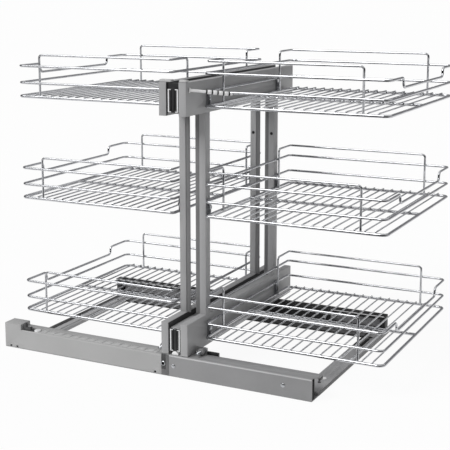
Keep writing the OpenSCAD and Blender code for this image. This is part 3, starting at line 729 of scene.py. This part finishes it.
@dataclass
class SideRails:
    """The two side rails on the floor, with their plugs, washers, screws, black strips, and painted shade
    and highlights.
    """

    shop: Workshop
    fold_edge: float = 0.7
    plug_ends: Range = (2.0, 2.0)
    plug_depths: Range = (0.4, 9.0)
    plug_gaps: Range = (0.2, 2.0)
    plug_edge: float = 0.5
    front_hole: float = 106.0
    rear_hole: float = 380.0
    washer: Profile = profile((5.4, 0.0), (5.4, 0.5), (4.6, 0.9), (3.2, 0.9), (2.9, 0.2))
    screw_depth: float = 82.0
    screw_head: Profile = profile((3.2, 0.0), (3.0, 0.7), (2.2, 1.1), (0.8, 1.2))
    strip_gaps: Range = (0.5, 1.5)
    rubber_shares: Range = (0.05, 0.38)
    rubber_height: float = 1.2
    rubber_edge: float = 0.4
    bead_shares: Range = (0.7, 0.86)
    bead_height: float = 1.6
    bead_edge: float = 0.7
    inner_foam: tuple[Range, Range] = ((0.6, 10.8), (-112.0, -0.5))
    outer_foam: tuple[Range, Range] = ((13.2, 21.0), (-112.0, -58.0))
    foam_height: float = 0.7
    foam_edge: float = 0.3
    wall_thickness: float = 0.3
    wall_ends: Range = (0.6, 0.6)
    wall_gaps: Range = (0.3, 0.5)
    wall_edge: float = 0.1

    def build(self) -> None:
        """Makes and dresses the side rails."""
        # The left rail is painted paler, to lift it out of the low basket's shadow
        self.shop.soften("left_side_rail", PALE_COAT, self.fold_edge)
        self.shop.soften("right_side_rail", POWDER_COAT, self.fold_edge)
        self.plugs()
        self.floor_fasteners()
        self.left_strips()
        self.right_strips()
        self.right_wall()

    def rails(self) -> list[Span]:
        """Gives the left and the right rail's corners."""
        return [corners(f"{side.label}_side_rail") for side in Side]

    def row(self, depth: float) -> list[Vector]:
        """Gives the middles of both rails' tops at a depth behind the unit's front."""
        back = corners("front_rail")[0].y + depth
        return [Vector(((low.x + high.x) / 2, back, high.z)) for low, high in self.rails()]

    def plugs(self) -> None:
        """Plugs the rails' open fronts."""
        spans = []
        for low, high in self.rails():
            ends = within(low.x, high.x, self.plug_ends)
            heights = within(low.z, high.z, self.plug_gaps)
            spans.append(span(ends, past(low.y, self.plug_depths), heights))
        self.shop.strips("side_rail_plugs", self.plug_edge, BASE_COAT, *spans)

    def floor_fasteners(self) -> None:
        """Sets a dished washer on each floor screw hole, and a dark screw before the front ones."""
        self.shop.turnings("floor_washers", self.washer, UP, NYLON, *self.row(self.front_hole))
        self.shop.turnings("rear_floor_washers", self.washer, UP, BLACK_PLASTIC, *self.row(self.rear_hole))
        seats = self.row(self.screw_depth)
        self.shop.turnings("side_rail_screws", self.screw_head, UP, BLACK_PLASTIC, *seats)

    def left_strips(self) -> None:
        """Lays painted shade and a raised painted highlight along the left rail, over shares of its width.
        """
        low, high = self.rails()[0]
        width = high.x - low.x
        depths = within(low.y, corners("cross_track")[0].y, self.strip_gaps)
        left, right = self.rubber_shares
        ends = past(low.x, (left * width, right * width))
        strip = span(ends, depths, past(high.z, (0, self.rubber_height)))
        self.shop.strips("side_rail_rubber_strip", self.rubber_edge, SHADE_STRIP, strip)
        left, right = self.bead_shares
        ends = past(low.x, (left * width, right * width))
        bead = span(ends, depths, past(high.z, (0, self.bead_height)))
        self.shop.strips("side_rail_bead", self.bead_edge, PALE_COAT, bead)

    def right_strips(self) -> None:
        """Lays two black strips along the right rail's rear part, before the track."""
        low, high = self.rails()[1]
        track_front = corners("cross_track")[0].y
        heights = past(high.z, (0, self.foam_height))
        spans = []
        for ends, depths in (self.inner_foam, self.outer_foam):
            spans.append(span(past(low.x, ends), past(track_front, depths), heights))
        self.shop.strips("right_rail_strips", self.foam_edge, BLACK_STRIP_AND_SHADE, *spans)

    def right_wall(self) -> None:
        """Paints shade on the right rail's outer wall, as a thin dark sheet."""
        low, high = self.rails()[1]
        depths = within(low.y, high.y, self.wall_ends)
        wall = span(past(high.x, (0, self.wall_thickness)), depths, within(low.z, high.z, self.wall_gaps))
        self.shop.strips("right_rail_wall", self.wall_edge, DARK_COAT_AND_SHADE, wall)


@dataclass
class CrossTrack:
    """The black track across the back of the base, with painted highlights along its lips and the flat bar
    before it.
    """

    shop: Workshop
    fold_edge: float = 0.7
    moulded_edge: float = 0.9
    web_ends: Range = (14.0, 14.0)
    web_depths: Range = (-2.4, -2.0)
    web_shares: Range = (0.12, 0.8)
    web_edge: float = 0.1
    bead_ends: Range = (1.5, 1.5)
    bead_depths: Range = (-0.5, 0.0)
    top_bead: Range = (-2.9, -0.7)
    low_bead: Range = (5.6, 7.6)
    bead_edge: float = 0.2
    bar_depths: Range = (-36.0, -0.5)
    bar_heights: Range = (0.3, 5.0)
    bar_edge: float = 0.5
    lining_ends: Range = (1.0, 1.0)
    lining_depths: Range = (-36.4, -36.0)
    lining_heights: Range = (0.4, 4.7)
    lining_edge: float = 0.15

    def build(self) -> None:
        """Makes and dresses the track."""
        self.shop.soften("cross_track", BLACK_COAT_AND_SHADE, self.fold_edge)
        self.shop.soften("track_end_stops", BLACK_PLASTIC, self.moulded_edge)
        self.shop.smooth("base_screws", ZINC)
        self.web_strip()
        self.lip_beads()
        self.floor_bar()

    def web_strip(self) -> None:
        """Lays the pale strip along the track's back web, painted paler to lift it out of the lip's shade,
        over a share of the track's height.
        """
        low, high = corners("cross_track")
        stop_low, stop_high = corners("track_end_stops")
        bottom, top = self.web_shares
        height = high.z - low.z
        ends = within(stop_low.x, stop_high.x, self.web_ends)
        strip = span(ends, past(high.y, self.web_depths), past(low.z, (bottom * height, top * height)))
        self.shop.strips("track_web_strip", self.web_edge, TRACK_WEB, strip)

    def lip_beads(self) -> None:
        """Runs a painted highlight along the front of each of the track's lips."""
        low, high = corners("cross_track")
        ends = within(low.x, high.x, self.bead_ends)
        depths = past(low.y, self.bead_depths)
        levels = past(high.z, self.top_bead), past(low.z, self.low_bead)
        beads = [span(ends, depths, heights) for heights in levels]
        self.shop.strips("track_lip_beads", self.bead_edge, BEAD_HIGHLIGHT, *beads)

    def floor_bar(self) -> None:
        """Fits the low flat bar between the side rails, before the track, with painted shade on its front
        edge.
        """
        front = corners("cross_track")[0].y
        left = corners("left_side_rail")[1].x
        right = corners("right_side_rail")[0].x
        bar = span((left, right), past(front, self.bar_depths), self.bar_heights)
        self.shop.strips("floor_bar", self.bar_edge, DARK_COAT_AND_SHADE, bar)
        ends = within(left, right, self.lining_ends)
        lining = span(ends, past(front, self.lining_depths), self.lining_heights)
        self.shop.strips("floor_bar_edge", self.lining_edge, BLACK_COAT_AND_SHADE, lining)


@dataclass
class Carriage:
    """The sliding carriage: beam, feet, axles, rollers, wheels and the fixed slide members."""

    shop: Workshop
    fold_edge: float = 0.5
    moulded_edge: float = 0.6
    slide_edge: float = 0.25
    wiper_ends: Range = (-25.6, -0.3)
    wiper_depths: Range = (-0.8, 0.0)
    wiper_heights: Range = (-4.0, 5.0)
    wiper_edge: float = 0.3
    hem_depths: Range = (0.0, 2.5)
    hem_heights: Range = (5.0, 5.5)
    hem_edge: float = 0.2

    def build(self) -> None:
        """Makes and dresses the carriage."""
        for node in ("carriage_beam", "top_link", "front_foot"):
            self.shop.soften(node, POWDER_COAT, self.fold_edge)
        self.shop.soften("rear_foot", FOOT_COAT, self.fold_edge)
        for node in ("roller_axles", "wheel_axles"):
            self.shop.smooth(node, ZINC)
        self.shop.soften("nose_caps", BLACK_PLASTIC, self.moulded_edge)
        self.shop.soften("front_glide", NYLON, self.moulded_edge)
        for side in Side:
            self.shop.smooth(f"{side.label}_front_roller", FILLED_NYLON)
            self.shop.smooth(f"{side.label}_track_wheel", NYLON)
            for level in Level:
                node = f"{side.label}_{level.value}_slide_fixed"
                self.shop.soften(node, SLIDE_ZINC, self.slide_edge)
        self.foot_wiper()

    def foot_wiper(self) -> None:
        """Sticks the dark wiper strip on the front foot's right wing, with its hem over the wing's top."""
        low, high = corners("front_foot")
        rail_top = corners("front_rail")[1].z
        ends = past(high.x, self.wiper_ends)
        mesh = bmesh.new()
        face = span(ends, past(low.y, self.wiper_depths), past(rail_top, self.wiper_heights))
        self.shop.block(mesh, face, self.wiper_edge)
        hem = span(ends, past(low.y, self.hem_depths), past(rail_top, self.hem_heights))
        self.shop.block(mesh, hem, self.hem_edge)
        self.shop.piece("front_foot_wiper", mesh, BLACK_PLASTIC, "carriage")


@dataclass
class BasketFrame:
    """One frame: its brackets, posts, baskets, screws and the moving parts of its slides."""

    shop: Workshop
    side: Side
    fold_edge: float = 0.6
    slide_edge: float = 0.25
    buffer_edge: float = 0.4
    trim_edge: float = 0.15
    felt_thickness: float = 0.5
    felt_depths: Range = (0.6, 5.6)
    felt_gaps: Range = (0.8, 0.8)
    felt_behind: Range = (5.6, 1.0)
    felt_above_middle: float = 20.3
    felt_edge: float = 0.1
    cap_depths: Range = (0.8, 13.0)
    cap_height: float = 5.0
    cap_edge: float = 1.6
    left_cap_reach: float = 10.5
    plug_from_edge: float = 6.8
    plug_height: float = 436.0
    plug_dome: Profile = profile((3.4, 0.0), (3.4, 0.4), (2.8, 0.8), (1.6, 1.0), (0.5, 1.05))
    flange_width: float = 9.2
    flange_depths: Range = (1.2, 1.5)
    flange_gaps: Range = (0.2, 0.2)
    flange_edge: float = 0.08

    @property
    def name(self) -> str:
        """The side's name, with which the frame's nodes and pieces start."""
        return self.side.label

    @property
    def body(self) -> str:
        """The body that the frame's pieces ride on."""
        return f"{self.name}_frame"

    def build(self) -> None:
        """Makes and dresses the frame."""
        for part in ("low_bracket", "top_bracket", "front_post", "rear_post"):
            self.shop.soften(f"{self.name}_{part}", POWDER_COAT, self.fold_edge)
        for tier in Tier:
            self.shop.smooth(f"{self.name}_{tier.value}_basket", CHROME)
        self.shop.smooth(f"{self.name}_basket_screws", ZINC)
        for level in Level:
            slide = f"{self.name}_{level.value}_slide"
            for part in ("middle", "moving"):
                self.shop.soften(f"{slide}_{part}", SLIDE_ZINC, self.slide_edge)
            self.shop.smooth(f"{slide}_balls", SLIDE_ZINC)
        self.shop.soften(f"{self.name}_slide_buffers", BLACK_PLASTIC, self.buffer_edge)
        # The slides' pale edge strips are a painted highlight
        self.shop.soften(f"{self.name}_slide_trims", TRIM_HIGHLIGHT, self.trim_edge)
        self.bracket_felt()
        self.end_cap()
        self.post_plug()
        self.flange_strips()

    def outwards(self, face: float, reach: float) -> Range:
        """Gives the range along X from a face to a reach away from the other frame."""
        low, high = sorted((face, face + self.side.value * reach))
        return low, high

    def inner(self, ends: Span) -> float:
        """Gives the place along X of a part's face towards the other frame."""
        return ends[1].x if self.side is Side.LEFT else ends[0].x

    def bracket_felt(self) -> None:
        """Paints shade on the brackets' inner faces, across their fronts and above the slides, with thin
        dark strips.
        """
        spans = []
        for level in Level:
            low, high = corners(f"{self.name}_{level.value}_bracket")
            across = self.outwards(self.inner((low, high)), -self.felt_thickness)
            bottom, top = within(low.z, high.z, self.felt_gaps)
            spans.append(span(across, past(low.y, self.felt_depths), (bottom, top)))
            above_slide = (low.z + high.z) / 2 + self.felt_above_middle
            spans.append(span(across, within(low.y, high.y, self.felt_behind), (above_slide, top)))
        name = f"{self.name}_bracket_felt"
        self.shop.strips(name, self.felt_edge, SHADE_STRIP, *spans, body=self.body)

    def end_cap(self) -> None:
        """Seats the moulded cap on the front end of the top bracket; the left one reaches over the gap."""
        low, high = corners(f"{self.name}_top_bracket")
        reach = self.left_cap_reach if self.side is Side.LEFT else 0.0
        heights = past(high.z, (0, self.cap_height))
        cap = span((low.x, high.x + reach), past(low.y, self.cap_depths), heights)
        self.shop.strips(f"{self.name}_end_cap", self.cap_edge, PALE_PLASTIC, cap, body=self.body)

    def post_plug(self) -> None:
        """Paints shade in the hole on the front of the rear post, with a black dome over it."""
        low, high = corners(f"{self.name}_rear_post")
        outer = high.x if self.side is Side.RIGHT else low.x
        seat = Vector((outer - self.side.value * self.plug_from_edge, low.y, self.plug_height))
        name = f"{self.name}_post_plug"
        self.shop.turnings(name, self.plug_dome, TO_FRONT, BLACK_PLASTIC, seat, body=self.body)

    def flange_strips(self) -> None:
        """Paints shade along the front of each post's inner flange."""
        spans = []
        for post in ("front_post", "rear_post"):
            low, high = corners(f"{self.name}_{post}")
            across = self.outwards(self.inner((low, high)), self.flange_width)
            heights = within(low.z, high.z, self.flange_gaps)
            spans.append(span(across, past(low.y, self.flange_depths), heights))
        name = f"{self.name}_flange_strips"
        self.shop.strips(name, self.flange_edge, FLANGE_SHADE, *spans, body=self.body)


@dataclass
class BasketStay:
    """The nylon stay between the right top bracket's side and the top basket's front wire."""

    shop: Workshop
    body: str = "right_frame"
    start: tuple[float, float, float] = (0.0, 12.7, 49.5)
    end: tuple[float, float, float] = (67.0, 61.5, 40.6)
    sides: int = 20
    foot_radius: float = 5.0
    neck_radius: float = 2.8
    tip_radius: float = 2.6
    point_radius: float = 1.8
    groove_radius: float = 2.9
    shoulder_radius: float = 3.9
    bead_radius: float = 4.2
    first_groove: float = 0.4
    groove_pitch: float = 0.13
    groove_count: int = 5
    shoulder: float = 0.02
    foot_shares: Range = (0.02, 0.045)
    point_share: float = 0.985
    band: Profile = profile((3.6, -1.4), (4.3, -1.1), (4.3, 1.1), (3.6, 1.4))

    def build(self) -> None:
        """Makes the stay, and dark bands in its grooves as painted shade."""
        low, high = corners("right_top_bracket")
        corner = Vector((high.x, low.y, low.z))
        start = corner + Vector(self.start)
        end = corner + Vector(self.end)
        along = end - start
        grooves = [self.first_groove + self.groove_pitch * i for i in range(self.groove_count)]
        stations = [(radius, share * along.length) for radius, share in self.stations(grooves)]
        rings = profile(*stations, sides=self.sides)
        self.shop.turnings("right_basket_stay", rings, along, NYLON, start, body=self.body)
        seats = [start.lerp(end, groove) for groove in grooves]
        self.shop.turnings("right_stay_bands", self.band, along, BLACK_PLASTIC, *seats, body=self.body)

    def stations(self, grooves: Sequence[float]) -> list[tuple[float, float]]:
        """Lists the stay's radii: a foot, a neck, beads between the grooves and a pointed tip.

        Args:
            grooves: The grooves' places, as shares of the stay's length.

        Returns:
            Each station's radius, with its place as a share of the length.
        """
        foot_end, neck_start = self.foot_shares
        places = [(self.foot_radius, 0.0), (self.foot_radius, foot_end), (self.neck_radius, neck_start)]
        places.append((self.neck_radius, grooves[0] - self.shoulder))
        for left, right in zip(grooves, grooves[1:]):
            places += [(self.groove_radius, left), (self.shoulder_radius, left + self.shoulder)]
            places.append((self.bead_radius, (left + right) / 2))
            places.append((self.shoulder_radius, right - self.shoulder))
        places += [(self.groove_radius, grooves[-1]), (self.tip_radius, grooves[-1] + self.shoulder)]
        places += [(self.tip_radius, self.point_share), (self.point_radius, 1.0)]
        return places


@dataclass
class Studio:
    """The pale floor, the soft light, the cards and the camera at the photograph's viewing angle."""

    eye: tuple[float, float, float] = (0.9918, -2.0035, 0.7578)
    azimuth_deg: float = 26.646
    pitch_deg: float = 10.248
    lens: float = 85.61
    sensor: float = 36.0
    shift_up: float = -0.1
    view_depth: float = 200.0
    sky: float = 0.45
    sun: float = 1.9
    sun_from: tuple[float, float, float] = (-0.42, -0.6, 0.68)
    sun_softness_deg: float = 35.0
    floor_colour: str = "#f2f2f2"
    floor_radius: float = 60.0
    floor_sides: int = 64
    floor_drop: float = 0.0002
    floor_whiteness: float = 0.93
    card_radius: float = 6.0
    card_sides: int = 48
    card_low: float = 0.2
    card_high: float = 4.5
    card_tones: tuple[tuple[float, str], ...] = ((0.42, "#0f0f10"), (0.75, "#909092"))
    mat_near: float = 0.45
    mat_far: float = 5.5
    mat_width: float = 2.2
    mat_lift: float = 0.001

    def build(self) -> None:
        """Sets the view transform and makes the floor, the lights, the cards and the camera."""
        bpy.context.scene.view_settings.view_transform = "Standard"
        self.world()
        self.lamp()
        self.floor()
        self.dark_cards()
        self.camera()

    def seen_directly(self, graph: Graph) -> NodeSocket:
        """Adds the sum that is 1 for rays from the camera, from gloss and through glass.

        Args:
            graph: The tree that takes the nodes.

        Returns:
            The sum's output, held between 0 and 1.
        """
        path = graph.add("LightPath").outputs
        gloss = graph.add("Math", {0: path["Is Camera Ray"], 1: path["Is Glossy Ray"]}, operation="ADD")
        rays = {0: gloss.outputs[0], 1: path["Is Transmission Ray"]}
        both = graph.add("Math", rays, operation="ADD", use_clamp=True)
        return both.outputs[0]

    def world(self) -> None:
        """Makes a world that lights softly and looks white."""
        world = bpy.data.worlds.new("studio")
        bpy.context.scene.world = world
        graph = Graph(world)
        soft = graph.add("Background", {"Color": WHITE, "Strength": self.sky})
        white = graph.add("Background", {"Color": WHITE, "Strength": 1.0})
        direct = self.seen_directly(graph)
        mix = graph.add("MixShader", {0: direct, 1: soft.outputs[0], 2: white.outputs[0]})
        graph.add("OutputWorld", {"Surface": mix.outputs[0]})

    def lamp(self) -> None:
        """Hangs one wide, soft lamp high in front, to the left of the camera."""
        data = bpy.data.lights.new("soft_key", "SUN")
        data.energy = self.sun
        data.angle = math.radians(self.sun_softness_deg)
        lamp = bpy.data.objects.new("soft_key", data)
        bpy.context.scene.collection.objects.link(lamp)
        lamp.rotation_mode = "QUATERNION"
        lamp.rotation_quaternion = Vector(self.sun_from).to_track_quat("Z", "Y")

    def floor(self) -> None:
        """Lays the floor, which looks white and keeps a faint shadow of the object."""
        material = bpy.data.materials.new("studio_floor")
        graph = Graph(material)
        matt = graph.add("BsdfDiffuse", {"Color": linear(self.floor_colour)})
        glow = graph.add("Emission", {"Color": WHITE, "Strength": 1.0})
        direct = self.seen_directly(graph)
        share = graph.add("Math", {0: direct, 1: self.floor_whiteness}, operation="MULTIPLY")
        mix = graph.add("MixShader", {0: share.outputs[0], 1: matt.outputs[0], 2: glow.outputs[0]})
        graph.add("OutputMaterial", {"Surface": mix.outputs[0]})
        mesh = bmesh.new()
        bmesh.ops.create_circle(mesh, cap_ends=True, segments=self.floor_sides, radius=self.floor_radius)
        floor = new_object("floor", mesh, material)
        floor.location.z = -self.floor_drop

    def dark_cards(self) -> None:
        """Stands a ring of card round the set and lays a mat of it towards the camera.

        The card is near black in front and grey behind. Only gloss shows it, as dark lines in metal.
        """
        material = bpy.data.materials.new("dark_card")
        graph = Graph(material)
        where = graph.add("TexCoord").outputs["Object"]
        depth = graph.add("SeparateXYZ", {"Vector": where}).outputs["Y"]
        near, far = -self.card_radius, self.card_radius
        share = graph.add("MapRange", {"Value": depth, "From Min": near, "From Max": far}).outputs["Result"]
        glow = graph.add("Emission", {"Color": graph.ramp(share, self.card_tones)})
        graph.add("OutputMaterial", {"Surface": glow.outputs[0]})
        mesh = bmesh.new()
        lift = Matrix.Translation((0, 0, self.card_low))
        ring = bmesh.ops.create_circle(mesh, segments=self.card_sides, radius=self.card_radius, matrix=lift)
        edges = list({e for v in ring["verts"] for e in v.link_edges})
        grown = bmesh.ops.extrude_edge_only(mesh, edges=edges)["geom"]
        rise = Vector((0, 0, self.card_high - self.card_low))
        bmesh.ops.translate(mesh, vec=rise, verts=[g for g in grown if isinstance(g, BMVert)])
        middle = Matrix.Translation((0, -(self.mat_near + self.mat_far) / 2, self.mat_lift))
        size = Matrix.Diagonal((self.mat_width / 2, (self.mat_far - self.mat_near) / 2, 1, 1))
        towards_camera = Matrix.Rotation(math.radians(self.azimuth_deg), 4, "Z")
        place = towards_camera @ middle @ size
        bmesh.ops.create_grid(mesh, x_segments=1, y_segments=1, size=1, matrix=place)
        cards = new_object("dark_cards", mesh, material)
        cards.visible_camera = False
        cards.visible_diffuse = False
        cards.visible_shadow = False
        cards.visible_transmission = False

    def camera(self) -> None:
        """Sets the camera where the photograph was taken."""
        data = bpy.data.cameras.new("camera")
        data.lens = self.lens
        data.sensor_width = self.sensor
        data.shift_y = self.shift_up
        data.clip_end = self.view_depth
        camera = bpy.data.objects.new("camera", data)
        bpy.context.scene.collection.objects.link(camera)
        camera.location = self.eye
        tilt = math.radians(90 - self.pitch_deg)
        camera.rotation_euler = (tilt, 0.0, math.radians(self.azimuth_deg))
        bpy.context.scene.camera = camera


def main() -> None:
    """Loads the frame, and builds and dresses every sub-assembly."""
    logging.basicConfig(level=logging.INFO, format="%(name)s: %(message)s")
    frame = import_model()
    shop = Workshop(frame)
    for assembly in (FrontRail, FrontCover, SideRails, CrossTrack, Carriage):
        assembly(shop).build()
    for side in Side:
        BasketFrame(shop, side).build()
    BasketStay(shop).build()
    Studio().build()


if __name__ == "__main__":
    main()
